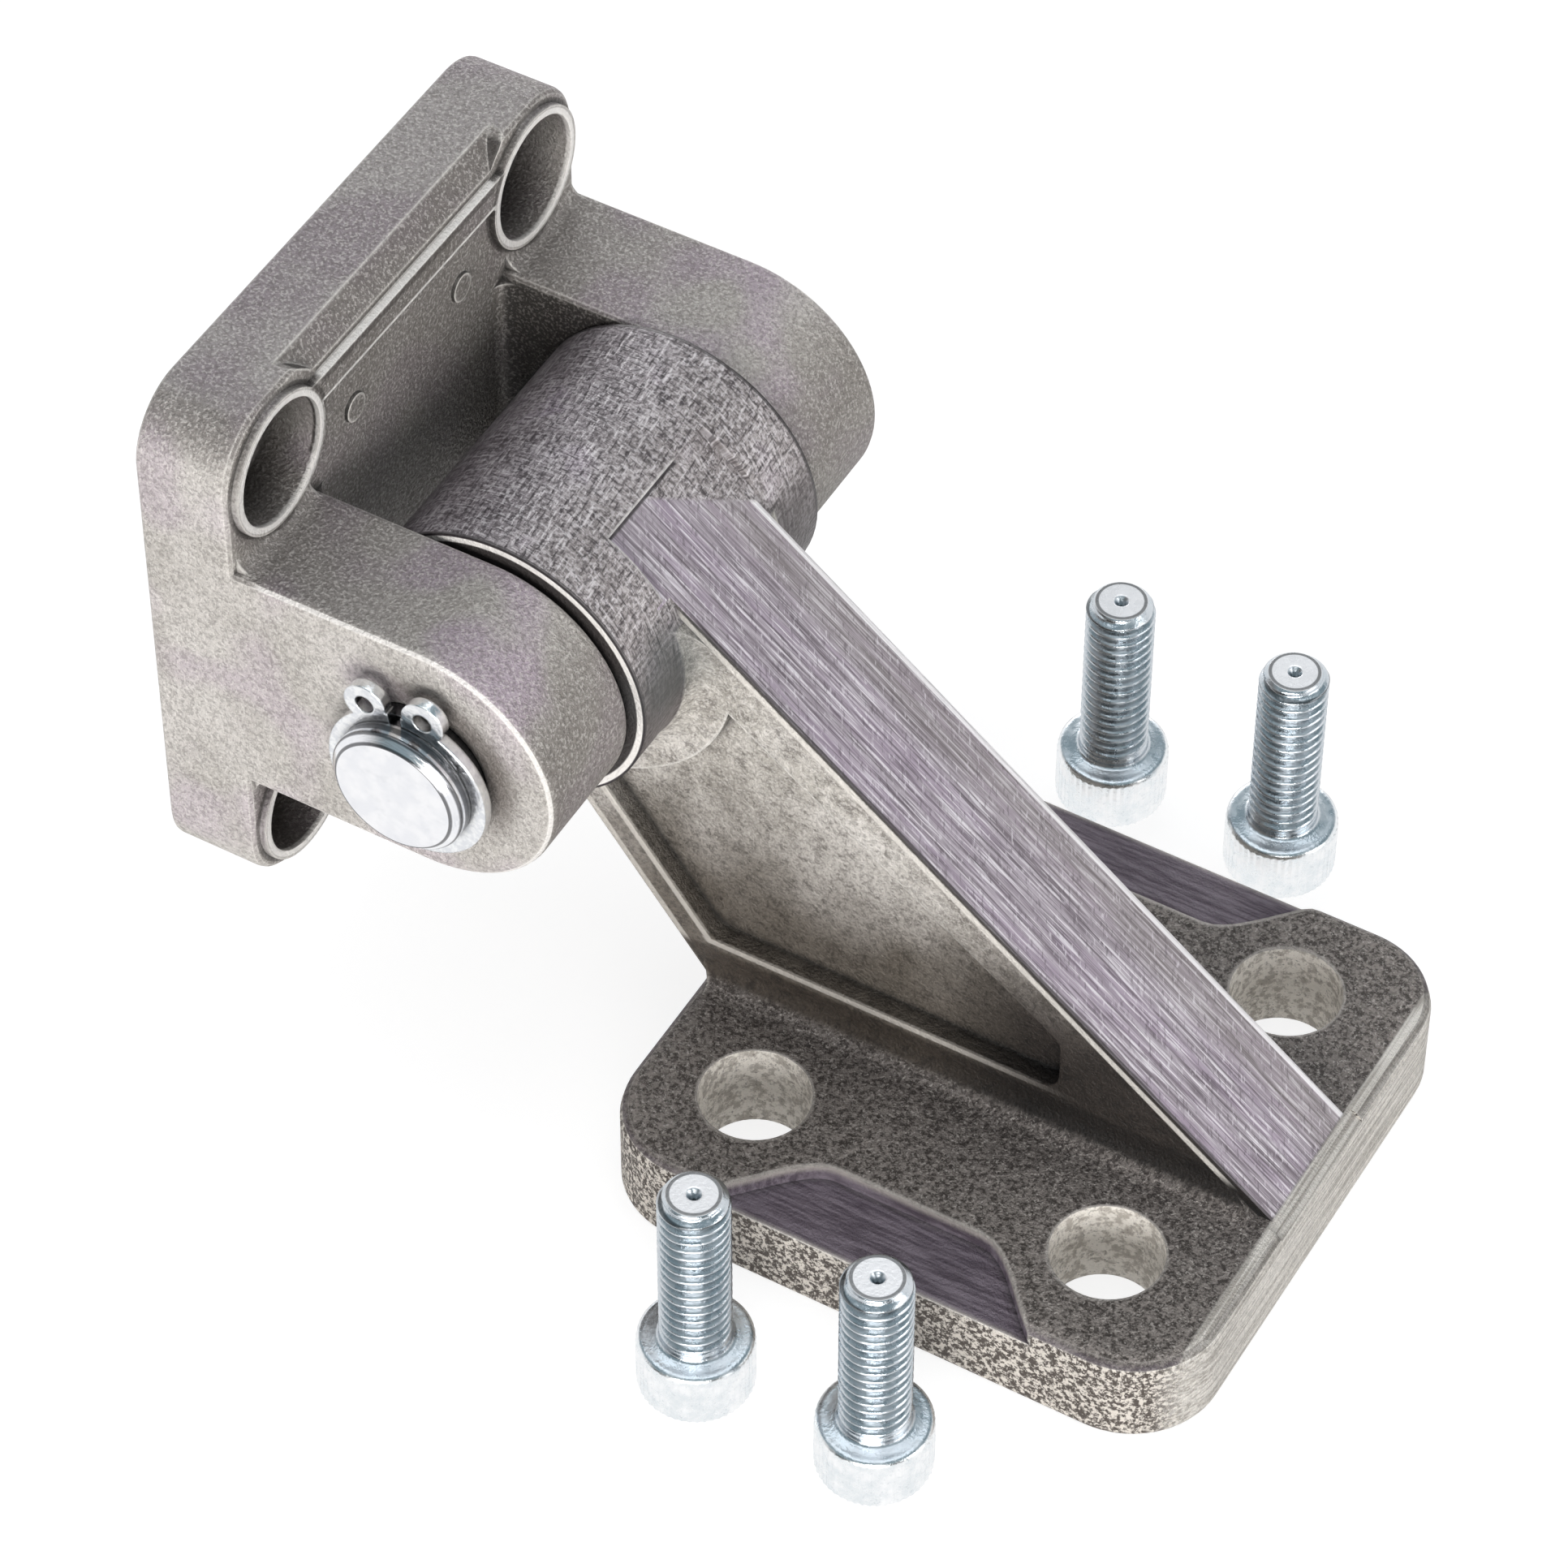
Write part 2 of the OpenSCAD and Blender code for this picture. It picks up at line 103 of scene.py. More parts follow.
# Half the spacings of the foot's holes, and of the flange's
BOLT_X = 0.0165
BOLT_Y = 0.016
SCREW_HALF = 0.019

# Cap screws
SCREW_R = 0.003
HEAD_R = 0.0049
HEAD_H = 0.006
SHANK = 0.018
PITCH = 0.001
THREAD_DEPTH = 0.00058
KNURL = 0.00011
SOCKET_AF = 0.005
SOCKET_DEPTH = 0.003
CENTRE_R = 0.00075
CENTRE_DEPTH = 0.0009
AROUND = 96
TURNS = [0.3, 2.1, 1.2, 0.7]

# The same places in millimetres, as the materials use them
PIN_MM = (PIN.x * 1000, 0, PIN.z * 1000)
EAR_MM = EAR_GAP * 500
FRONT_MM = FLANGE_FRONT * 1000
MIDDLE_MM = (clevis_lo.z + clevis_hi.z) * 500
SCREW_MM = SCREW_HALF * 1000
BEAD_TOP_MM = BEAD_TOP * 1000
BEAD_LOW_MM = BEAD_LOW * 1000
HUB_MM = HUB_R * 1000
HUB_END_MM = HUB_HALF * 1000
ARM_MM = ARM_HALF * 1000
STRAP_MM = STRAP_OFF * 1000
START_MM = -GROUND_START * 1000
FOOT_END_MM = foot_hi.x * 1000
FOOT_SIDE_MM = foot_hi.y * 1000
FOOT_TOP_MM = FOOT_T * 1000
BOLT_X_MM = BOLT_X * 1000
BOLT_Y_MM = BOLT_Y * 1000


# Small helpers for the nodes of a material or of the world
class Nodes:
    def __init__(self, owner, output):
        owner.use_nodes = True
        self.nodes = owner.node_tree.nodes
        self.links = owner.node_tree.links
        self.nodes.clear()
        self.out = self.nodes.new(output)

    def put(self, socket, value):
        if isinstance(value, bpy.types.NodeSocket):
            self.links.new(value, socket)
        elif value is not None:
            socket.default_value = value

    def node(self, kind, *values, **settings):
        n = self.nodes.new(kind)
        for key, value in settings.items():
            setattr(n, key, value)
        for socket, value in zip(n.inputs, values):
            self.put(socket, value)
        return n

    def math(self, operation, *values):
        return self.node("ShaderNodeMath", *values, operation=operation).outputs[0]

    def vector(self, operation, *values):
        n = self.node("ShaderNodeVectorMath", *values, operation=operation)
        return n.outputs["Value"] if operation in ("DOT_PRODUCT", "LENGTH") else n.outputs[0]

    def ramp(self, value, low, high, to_low=0.0, to_high=1.0):
        n = self.node("ShaderNodeMapRange", value, low, high, to_low, to_high)
        n.interpolation_type = "SMOOTHSTEP"
        return n.outputs[0]

    def mix(self, factor, a, b, blend="MIX"):
        n = self.nodes.new("ShaderNodeMix")
        n.data_type = "RGBA"
        n.blend_type = blend
        n.clamp_factor = True
        self.put(n.inputs[0], factor)
        self.put(n.inputs[6], a)
        self.put(n.inputs[7], b)
        return n.outputs[2]

    def noise(self, vector, scale, detail=2.0, rough=0.5):
        n = self.nodes.new("ShaderNodeTexNoise")
        self.put(n.inputs["Vector"], vector)
        n.inputs["Scale"].default_value = scale
        n.inputs["Detail"].default_value = detail
        n.inputs["Roughness"].default_value = rough
        return n.outputs["Fac"]

    def cells(self, vector, scale):
        n = self.nodes.new("ShaderNodeTexVoronoi")
        self.put(n.inputs["Vector"], vector)
        n.inputs["Scale"].default_value = scale
        return n.outputs["Distance"]

    def stretch(self, vector, scale):
        n = self.nodes.new("ShaderNodeMapping")
        self.put(n.inputs["Vector"], vector)
        n.inputs["Scale"].default_value = scale
        return n.outputs[0]

    def turned(self, vector, angle):
        return self.node("ShaderNodeVectorRotate", vector, (0, 0, 0), (0, 0, 1), angle).outputs[0]

    def band(self, value, middle, half):
        """1 within half of the middle, falling to 0 at twice that."""
        away = self.math("ABSOLUTE", self.math("SUBTRACT", value, middle))
        return self.ramp(away, 2 * half, half)

    def product(self, *factors):
        result = factors[0]
        for factor in factors[1:]:
            result = self.math("MULTIPLY", result, factor)
        return result

    def highest(self, *values):
        result = values[0]
        for value in values[1:]:
            result = self.math("MAXIMUM", result, value)
        return result

    def inverse(self, value):
        return self.math("SUBTRACT", 1.0, value)


class Tree(Nodes):
    """The nodes of one new material."""
    def __init__(self, name):
        self.material = bpy.data.materials.new(name)
        super().__init__(self.material, "ShaderNodeOutputMaterial")

    def place_mm(self):
        coord = self.nodes.new("ShaderNodeTexCoord")
        return self.vector("MULTIPLY", coord.outputs["Object"], (1000, 1000, 1000))

    def bump(self, height, distance, normal):
        n = self.nodes.new("ShaderNodeBump")
        n.inputs["Strength"].default_value = 1.0
        n.inputs["Distance"].default_value = distance
        self.put(n.inputs["Height"], height)
        self.put(n.inputs["Normal"], normal)
        return n.outputs[0]

    def soft_edges(self, radius):
        n = self.nodes.new("ShaderNodeBevel")
        n.samples = 6
        self.put(n.inputs["Radius"], radius)
        return n.outputs[0]

    def shelter(self, distance, samples, only_local=True):
        """Open sky over the surface, 1 where nothing stands near."""
        n = self.nodes.new("ShaderNodeAmbientOcclusion")
        n.samples = samples
        n.only_local = only_local
        n.inputs["Distance"].default_value = distance
        return n.outputs["AO"]

    def choose(self, factor, a, b):
        n = self.nodes.new("ShaderNodeMix")
        self.put(n.inputs[0], factor)
        self.put(n.inputs[2], a)
        self.put(n.inputs[3], b)
        return n.outputs[0]

    def metal(self, colour, rough, normal, metallic):
        n = self.nodes.new("ShaderNodeBsdfPrincipled")
        self.put(n.inputs["Base Color"], colour)
        self.put(n.inputs["Roughness"], rough)
        self.put(n.inputs["Normal"], normal)
        n.inputs["Metallic"].default_value = metallic
        self.links.new(n.outputs[0], self.out.inputs[0])
        self.shader = n
        return self.material


def rgb(r, g, b):
    def linear(v):
        v /= 255
        return v / 12.92 if v <= 0.04045 else ((v + 0.055) / 1.055) ** 2.4
    return (linear(r), linear(g), linear(b), 1)


WHITE = (1, 1, 1, 1)


# Masks that every cast surface shares: edges with wear and a painted highlight, painted shade in corners
# and painted shade in hollows
def wear_and_shade_masks(t, radius):
    soft = t.soft_edges(radius)
    flat = t.nodes.new("ShaderNodeNewGeometry").outputs["Normal"]
    along = t.vector("DOT_PRODUCT", soft, flat)
    near = t.shelter(0.0014, 6)
    hollow_shade = t.shelter(0.02, 8)
    turned = t.ramp(along, 0.998, 0.9)
    edge_wear_and_highlight = t.product(turned, t.ramp(near, 0.72, 0.92))
    corner_shade = t.ramp(near, 0.78, 0.45)
    return soft, flat, edge_wear_and_highlight, corner_shade, hollow_shade


# Grain of a sand-blasted casting, in millimetres: blotches, granules and pits
def blasted(t, p):
    grain = t.noise(p, 2.4, 3.0, 0.75)
    fine = t.noise(p, 3.6, 2.0, 0.6)
    cloud = t.noise(p, 0.12, 2.0, 0.5)
    return grain, fine, cloud


# Adds the casting's marks to its colour: dark granules and light specks, bright edges of wear with a
# painted highlight, and painted shade in corners and hollows
def wear_and_shade_colour(t, colour, grain, fine, edge_wear_and_highlight, corner_shade, hollow_shade, lift=0.34):
    colour = t.mix(t.ramp(grain, 0.56, 0.4, 0.0, 0.38), colour, rgb(88, 82, 78))
    colour = t.mix(t.ramp(fine, 0.5, 0.64, 0.0, lift), colour, rgb(232, 227, 222))
    colour = t.mix(t.product(edge_wear_and_highlight, 0.85), colour, rgb(248, 244, 238))
    colour = t.mix(t.ramp(hollow_shade, 0.62, 0.22, 0.0, 0.8), colour, rgb(44, 40, 36))
    return t.mix(t.product(corner_shade, 0.75), colour, rgb(38, 34, 31))


def clevis_material():
    t = Tree("cast_clevis")
    p = t.place_mm()
    soft, flat, edge_wear_and_highlight, corner_shade, hollow_shade = wear_and_shade_masks(t, 0.0005)
    grain, fine, cloud = blasted(t, p)
    colour = t.mix(t.ramp(cloud, 0.35, 0.65), rgb(182, 177, 171), rgb(200, 195, 190))
    normal = t.node("ShaderNodeSeparateXYZ", flat).outputs
    xyz = t.node("ShaderNodeSeparateXYZ", p).outputs
    abs_y = t.math("ABSOLUTE", xyz[1])
    faces_y = t.math("ABSOLUTE", normal[1])

    # Painted light on the flange's top edge, lilac patches, and painted shade on the ears' round ends, on
    # faces turned to the front and on the sloped facet
    painted_top_light = t.product(t.ramp(normal[2], 0.9, 0.98), t.ramp(xyz[2], 70.5, 71.5))
    colour = t.mix(t.product(painted_top_light, 0.85), colour, rgb(232, 226, 225))
    round_end_shade = t.product(t.ramp(normal[0], 0.25, 0.5), t.ramp(normal[2], 0.2, 0.4),
                          t.ramp(xyz[0], -38.0, -34.0))
    colour = t.mix(t.product(round_end_shade, 0.4), colour, rgb(150, 144, 139))
    tint = t.noise(t.vector("ADD", p, (40, 7, 3)), 0.11, 1.0, 0.5)
    tinted = t.math("ADD", t.product(t.ramp(normal[2], 0.3, 0.8), 0.35), 0.4)
    tinted = t.product(t.ramp(tint, 0.46, 0.64), tinted)
    colour = t.mix(tinted, colour, rgb(184, 167, 182))
    front_shade = t.ramp(normal[0], 0.5, 0.97)
    colour = t.mix(t.product(front_shade, 0.6), colour, rgb(96, 90, 84))
    facet_shade = t.product(t.band(normal[0], 0.78, 0.12),
                      t.ramp(normal[2], 0.3, 0.5), t.ramp(xyz[2], 68.0, 69.0))
    colour = t.mix(t.product(facet_shade, 0.55), colour, rgb(112, 106, 102))

    # Painted shade between the ears and on top of them near the flange
    between_ears_shade = t.product(t.ramp(abs_y, EAR_MM + 0.4, EAR_MM + 0.1),
                        t.ramp(xyz[0], FRONT_MM - 0.2, FRONT_MM + 0.1))
    ear_top_shade = t.product(t.ramp(normal[2], 0.2, 0.85), t.ramp(xyz[0], -28.0, FRONT_MM + 3))
    inner_ear = t.ramp(faces_y, 0.5, 0.9)
    colour = t.mix(t.product(between_ears_shade, 0.42), colour, rgb(74, 69, 64))
    colour = t.mix(t.product(between_ears_shade, inner_ear, 0.85), colour, rgb(32, 29, 26))
    colour = t.mix(t.product(ear_top_shade, 0.7), colour, rgb(98, 92, 89))
    # Casting marks, with painted highlight on edges and painted shade in corners and hollows
    colour = wear_and_shade_colour(t, colour, grain, fine, edge_wear_and_highlight, corner_shade, hollow_shade)
    # More painted shade on the ears' inner faces
    colour = t.mix(t.product(between_ears_shade, inner_ear, 0.7), colour, rgb(150, 146, 142), "MULTIPLY")

    # Painted shadow on the ears' outer faces, round the upper front of the circlips
    from_axis = t.vector("MULTIPLY", t.vector("SUBTRACT", p, PIN_MM), (1, 0, 1))
    clip_side = t.vector("DOT_PRODUCT", t.vector("NORMALIZE", from_axis), (0.8, 0, 0.6))
    clip_at = t.vector("LENGTH", from_axis)
    clip_shadow = t.product(t.ramp(clip_at, 10.0, 7.4), t.ramp(clip_side, -0.1, 0.8),
                      t.ramp(faces_y, 0.9, 0.98), t.ramp(abs_y, 25.0, 25.6))
    colour = t.mix(t.product(clip_shadow, 0.7), colour, rgb(84, 74, 68))

    # Painted highlight: a thin bright line along the ears' outer edges
    ear_edge_highlight = t.product(t.band(faces_y, 0.7, 0.1),
                         t.ramp(xyz[0], FRONT_MM + 1.5, FRONT_MM + 2.5),
                         t.ramp(abs_y, 24.8, 25.0))
    colour = t.mix(t.product(ear_edge_highlight, 0.7), colour, rgb(242, 238, 234))

    # Painted highlight on the rims round the counterbores, a painted shade line outside them
    rim_y = t.math("SUBTRACT", abs_y, SCREW_MM)
    rim_z = t.math("SUBTRACT", t.math("ABSOLUTE", t.math("SUBTRACT", xyz[2], MIDDLE_MM)), SCREW_MM)
    rim_at = t.vector("LENGTH", t.node("ShaderNodeCombineXYZ", rim_y, rim_z, 0).outputs[0])
    proud = t.ramp(xyz[0], FRONT_MM + 0.1, FRONT_MM + 0.3)
    rim_highlight = t.product(t.band(rim_at, 5.78, 0.19), proud)
    colour = t.mix(t.product(rim_highlight, 0.75), colour, rgb(250, 247, 243))
    rim_shade_line = t.product(t.band(rim_at, 6.5, 0.14), t.ramp(xyz[0], FRONT_MM - 0.3, FRONT_MM))
    colour = t.mix(t.product(rim_shade_line, 0.6), colour, rgb(48, 43, 40))

    # Painted shade at the ends of the facet along the flange's top; on the two raised lines under it,
    # painted highlights with painted shade lines beside them
    facet_end_shade = t.product(t.ramp(faces_y, 0.35, 0.5), t.ramp(xyz[2], 69.1, 69.4),
                          t.ramp(abs_y, 15.5, 15.0), t.ramp(rim_at, 7.0, 7.3))
    colour = t.mix(t.product(facet_end_shade, 0.85), colour, rgb(52, 46, 43))
    bar_length = t.ramp(abs_y, 13.2, 12.6)
    bead_shade_lines = t.highest(t.band(xyz[2], BEAD_TOP_MM + 0.34, 0.1), t.band(xyz[2], BEAD_TOP_MM - 0.6, 0.2),
                          t.band(xyz[2], BEAD_LOW_MM - 0.5, 0.15))
    bead_shade_lines = t.product(bead_shade_lines, bar_length, t.ramp(xyz[0], FRONT_MM - 0.4, FRONT_MM - 0.1))
    colour = t.mix(t.product(bead_shade_lines, 0.6), colour, rgb(62, 56, 53))
    bead_highlights = t.highest(t.band(xyz[2], BEAD_TOP_MM, 0.11), t.band(xyz[2], BEAD_LOW_MM, 0.18))
    bead_highlights = t.product(bead_highlights, bar_length, t.ramp(xyz[0], FRONT_MM - 0.1, FRONT_MM + 0.1))
    colour = t.mix(t.product(bead_highlights, 0.85), colour, rgb(250, 247, 243))
    height = t.math("ADD", t.product(grain, 0.8), t.product(fine, 0.5))
    rough = t.ramp(grain, 0.3, 0.7, 0.62, 0.48)
    return t.metal(colour, rough, t.bump(height, 0.0003, soft), 0.3)


def bracket_material():
    t = Tree("cast_bracket")
    p = t.place_mm()
    xyz = t.node("ShaderNodeSeparateXYZ", p).outputs
    abs_x = t.math("ABSOLUTE", xyz[0])
    abs_y = t.math("ABSOLUTE", xyz[1])
    from_pin = t.vector("SUBTRACT", p, PIN_MM)
    f = t.node("ShaderNodeSeparateXYZ", from_pin).outputs
    radius = t.vector("LENGTH", t.vector("MULTIPLY", from_pin, (1, 0, 1)))
    grain, fine, cloud = blasted(t, p)

    # Ground steps in the plate's long sides, where edges are softened more
    relief = t.product(t.ramp(abs_x, 19.0, 18.5), t.ramp(abs_y, FOOT_SIDE_MM - 8.0, FOOT_SIDE_MM - 7.5))
    inside = t.ramp(abs_y, FOOT_SIDE_MM - 0.1, FOOT_SIDE_MM - 0.4)
    relief = t.product(relief, inside, t.ramp(xyz[2], 6.9, 7.1))
    soft, flat, edge_wear_and_highlight, corner_shade, hollow_shade = wear_and_shade_masks(t, t.choose(relief, 0.0005, 0.0008))
    normal = t.node("ShaderNodeSeparateXYZ", flat).outputs
    faces_y = t.math("ABSOLUTE", normal[1])

    # No bright edge of wear with painted highlight where the ground flat runs out on the plate
    foot_spot = t.product(t.ramp(xyz[0], FOOT_END_MM - 9.0, FOOT_END_MM - 7.0),
                          t.ramp(abs_y, 10.5, 9.0), t.ramp(xyz[2], 12.0, 11.0),
                          t.ramp(xyz[0], FOOT_END_MM - 1.2, FOOT_END_MM - 1.6))
    edge_wear_and_highlight = t.product(edge_wear_and_highlight, t.inverse(foot_spot))

    # Cast skin of the arm: pale above, brown and dark below
    skin = t.mix(t.ramp(cloud, 0.35, 0.65), rgb(186, 181, 173), rgb(208, 203, 197))
    level = t.vector("DOT_PRODUCT", from_pin, tuple(STRAP_N))
    rib_level = t.vector("DOT_PRODUCT", from_pin, tuple(RIB_N))
    arm_side = t.product(t.ramp(faces_y, 0.6, 0.8), t.ramp(f[0], 10.0, 13.0))
    strip = t.product(arm_side, t.ramp(level, STRAP_MM - 2.2, STRAP_MM - 1.6))
    skin = t.mix(t.product(strip, 0.5), skin, rgb(166, 160, 153))
    rough_skin = t.noise(p, 0.85, 4.0, 0.75)
    skin = t.mix(t.ramp(rough_skin, 0.5, 0.36, 0.0, 0.6), skin, rgb(104, 98, 91))
    skin = t.mix(t.ramp(rough_skin, 0.52, 0.64, 0.0, 0.6), skin, rgb(222, 217, 210))
    edge_kept = t.product(edge_wear_and_highlight, t.inverse(t.product(strip, 0.65)))
    # Casting marks, with painted highlight on edges and painted shade in corners and hollows
    skin = wear_and_shade_colour(t, skin, grain, fine, edge_kept, corner_shade, hollow_shade, 0.45)
    # Darker towards the bottom, by height with cloudy noise
    low_darkening = t.math("ADD", xyz[2], t.product(cloud, 14.0))
    skin = t.mix(t.ramp(low_darkening, 44.0, 23.0), skin, rgb(134, 128, 121), "MULTIPLY")
    low_end = t.product(t.ramp(f[0], 32.0, 46.0), t.ramp(xyz[2], 32.0, 18.0))
    skin = t.mix(low_end, skin, rgb(120, 113, 112), "MULTIPLY")
    rim = t.product(t.ramp(xyz[2], 12.9, 12.3), t.inverse(t.product(edge_wear_and_highlight, 0.8)))
    skin = t.mix(rim, skin, rgb(168, 160, 154), "MULTIPLY")

    # Painted shade line at the ground flat's edge with a painted highlight under it, and painted highlights
    # on the lips round the pocket
    arm_side = t.product(arm_side, t.ramp(xyz[2], 10.8, 12.5))
    strap_edge_highlight = t.product(arm_side, t.band(level, STRAP_MM - 0.75, 0.2))
    skin = t.mix(t.product(strap_edge_highlight, 0.7), skin, rgb(234, 229, 222))
    under = t.product(arm_side, t.ramp(level, STRAP_MM - 0.4, STRAP_MM - 0.3))
    skin = t.mix(t.product(under, 0.9), skin, rgb(44, 39, 37))
    outer = t.ramp(abs_y, ARM_MM - 0.3, ARM_MM - 0.15)
    foot_lip = t.product(t.band(xyz[2], FOOT_TOP_MM + 4.3, 0.2),
                         t.ramp(f[0], 50.0, 34.0), t.ramp(rib_level, 8.4, 8.0))
    rib_lip = t.product(t.band(rib_level, 7.8, 0.2),
                        t.ramp(xyz[2], 13.2, 13.5), t.ramp(radius, 16.6, 17.0))
    rib_edge = t.product(t.band(rib_level, 10.2, 0.22),
                         t.ramp(xyz[2], 12.0, 13.0), t.ramp(radius, 14.0, 15.0))
    lip_highlight = t.product(outer, t.highest(foot_lip, rib_lip, rib_edge))
    skin = t.mix(t.product(lip_highlight, 0.55), skin, rgb(226, 220, 212))

    # Top of the foot plate: dark granules, the ground steps in it, and a filed band along its far end
    top = t.product(t.ramp(normal[2], 0.5, 0.9), t.ramp(xyz[2], 11.0, 9.4))
    coarse = t.noise(p, 1.1, 3.0, 0.7)
    beside = t.ramp(abs_y, 17.0, 8.0)
    dark = t.mix(t.ramp(grain, 0.4, 0.62), rgb(62, 56, 52), rgb(138, 131, 126))
    dark = t.mix(t.ramp(coarse, 0.5, 0.64, 0.0, 0.5), dark, rgb(142, 135, 130))
    dark = t.mix(t.product(beside, 0.25), dark, rgb(60, 53, 54))
    dark = t.mix(t.ramp(fine, 0.56, 0.7, 0.0, 0.55), dark, rgb(196, 190, 184))
    streak = t.noise(t.stretch(p, (0.22, 2.6, 1.0)), 1.0, 3.0, 0.65)
    cove = t.mix(t.ramp(streak, 0.35, 0.65), rgb(86, 76, 86), rgb(128, 118, 128))
    dark = t.mix(t.ramp(xyz[2], 8.9, 8.3), dark, cove)
    # Bright edges of wear with a painted highlight, and painted shade in corners
    dark = t.mix(t.product(edge_wear_and_highlight, 0.8), dark, rgb(206, 200, 194))
    dark = t.mix(t.product(corner_shade, 0.6), dark, rgb(34, 30, 30))
    filed = t.noise(t.stretch(p, (3.2, 0.06, 3.2)), 1.0, 2.0, 0.6)
    band = t.mix(t.ramp(filed, 0.36, 0.62), rgb(164, 159, 152), rgb(214, 210, 204))
    dark = t.mix(t.ramp(xyz[0], FOOT_END_MM - 1.7, FOOT_END_MM - 1.4), dark, band)
    skin = t.mix(top, skin, dark)

    # Sides of the foot plate, pale and speckled, and the walls of the steps and of the holes
    plate_side = t.product(t.ramp(normal[2], 0.8, 0.45), t.ramp(xyz[2], 9.05, 8.95))
    pepper = t.noise(p, 2.3, 3.0, 0.75)
    speckle_and_edge_highlight = t.mix(t.ramp(pepper, 0.45, 0.58), rgb(74, 66, 60), rgb(210, 203, 194))
    speckle_and_edge_highlight = t.mix(t.ramp(normal[0], 0.6, 0.9, 0.0, 0.8), speckle_and_edge_highlight, band)
    # Bright edges of wear with a painted highlight
    speckle_and_edge_highlight = t.mix(t.product(edge_wear_and_highlight, 0.8), speckle_and_edge_highlight, rgb(244, 240, 234))
    skin = t.mix(plate_side, skin, speckle_and_edge_highlight)
    wall = t.mix(t.ramp(xyz[2], 8.0, 8.9), cove, rgb(170, 163, 158))
    skin = t.mix(t.product(relief, plate_side), skin, wall)
    bore_x = t.math("SUBTRACT", abs_x, BOLT_X_MM)
    bore_y = t.math("SUBTRACT", abs_y, BOLT_Y_MM)
    bore_at = t.vector("LENGTH", t.node("ShaderNodeCombineXYZ", bore_x, bore_y, 0).outputs[0])
    bore = t.product(t.ramp(bore_at, 5.4, 5.2), plate_side)
    bored = t.mix(t.ramp(coarse, 0.4, 0.56), rgb(190, 183, 174), rgb(240, 235, 227))
    bored = t.mix(t.ramp(fine, 0.42, 0.3, 0.0, 0.5), bored, rgb(92, 84, 76))
    skin = t.mix(bore, skin, bored)

    # Ground flat on the arm: long fine marks along the arm
    away = t.math("ABSOLUTE", t.math("SUBTRACT", level, STRAP_MM))
    reach = t.vector("DOT_PRODUCT", from_pin, tuple(STRAP_U))
    crown = t.math("ADD", reach, t.product(t.highest(t.math("ADD", f[1], 1.5), 0.0), -0.9))
    strap = t.product(t.ramp(away, 0.05, 0.03), t.ramp(abs_y, 8.3, 8.25),
                      t.ramp(crown, START_MM - 0.1, START_MM + 0.6), t.ramp(xyz[2], 9.0, 9.2))
    along = t.node("ShaderNodeCombineXYZ", reach, f[1], 0).outputs[0]
    lines = t.noise(t.stretch(along, (0.06, 2.6, 1)), 1.0, 4.0, 0.8)
    scores = t.noise(t.stretch(along, (0.16, 3.8, 1)), 1.0, 2.0, 0.6)
    bands = t.noise(t.stretch(along, (0.05, 0.5, 1)), 1.0, 2.0, 0.5)
    cut = t.mix(t.ramp(lines, 0.36, 0.62), rgb(118, 108, 116), rgb(180, 171, 179))
    cut = t.mix(t.ramp(bands, 0.45, 0.65, 0.0, 0.5), cut, rgb(166, 150, 168))
    cut = t.mix(t.ramp(scores, 0.52, 0.66, 0.0, 0.7), cut, rgb(236, 231, 236))
    cut = t.mix(t.ramp(scores, 0.46, 0.34, 0.0, 0.62), cut, rgb(78, 69, 75))
    far_third = t.ramp(f[1], 0.5, 4.0)
    cut = t.mix(t.product(far_third, 0.35), cut, rgb(140, 134, 128))
    nicks = t.noise(t.stretch(t.turned(along, 0.9), (0.8, 3.4, 1)), 1.0, 2.0, 0.6)
    cut = t.mix(t.ramp(nicks, 0.42, 0.32, 0.0, 0.5), cut, rgb(84, 75, 82))
    cut = t.mix(t.ramp(nicks, 0.6, 0.7, 0.0, 0.5), cut, rgb(226, 220, 226))
    # Painted highlight along the far edge, painted shade line along the near edge
    far_edge_highlight = t.ramp(f[1], ARM_MM - 0.6, ARM_MM - 0.45)
    cut = t.mix(t.product(far_edge_highlight, 0.8), cut, rgb(248, 245, 246))
    near_edge_shade = t.product(t.ramp(f[1], -ARM_MM + 0.35, -ARM_MM + 0.22), t.ramp(reach, 6.0, 9.0))
    cut = t.mix(t.product(near_edge_shade, 0.85), cut, rgb(50, 44, 46))

    # Hub: crossed marks from turning, and marks from blending by hand
    step_wall = t.product(t.ramp(abs_y, 8.6, 8.2), t.ramp(level, 11.6, 11.9), t.ramp(reach, 9.0, 8.0))
    hub = t.product(t.ramp(radius, HUB_MM + 0.25, HUB_MM + 0.1), t.ramp(radius, HUB_MM - 1.2, HUB_MM - 0.9),
                    t.highest(t.ramp(faces_y, 0.96, 0.85), step_wall))
    turn = t.product(t.math("ARCTAN2", f[0], f[2]), HUB_MM)
    flat_map = t.node("ShaderNodeCombineXYZ", turn, f[1], 0).outputs[0]
    cross_a = t.noise(t.stretch(t.turned(flat_map, 0.12), (0.35, 3.3, 1)), 1.0, 3.0, 0.7)
    cross_b = t.noise(t.stretch(t.turned(flat_map, -0.1), (3.3, 0.35, 1)), 1.0, 3.0, 0.7)
    patch = t.noise(flat_map, 0.16, 2.0, 0.5)
    low_mark = t.math("MINIMUM", cross_a, cross_b)
    high_mark = t.highest(cross_a, cross_b)
    rubbed_and_shaded = t.mix(t.ramp(patch, 0.4, 0.62), rgb(136, 128, 132), rgb(166, 158, 162))
    rubbed_and_shaded = t.mix(t.ramp(patch, 0.56, 0.68, 0.0, 0.5), rubbed_and_shaded, rgb(160, 145, 164))
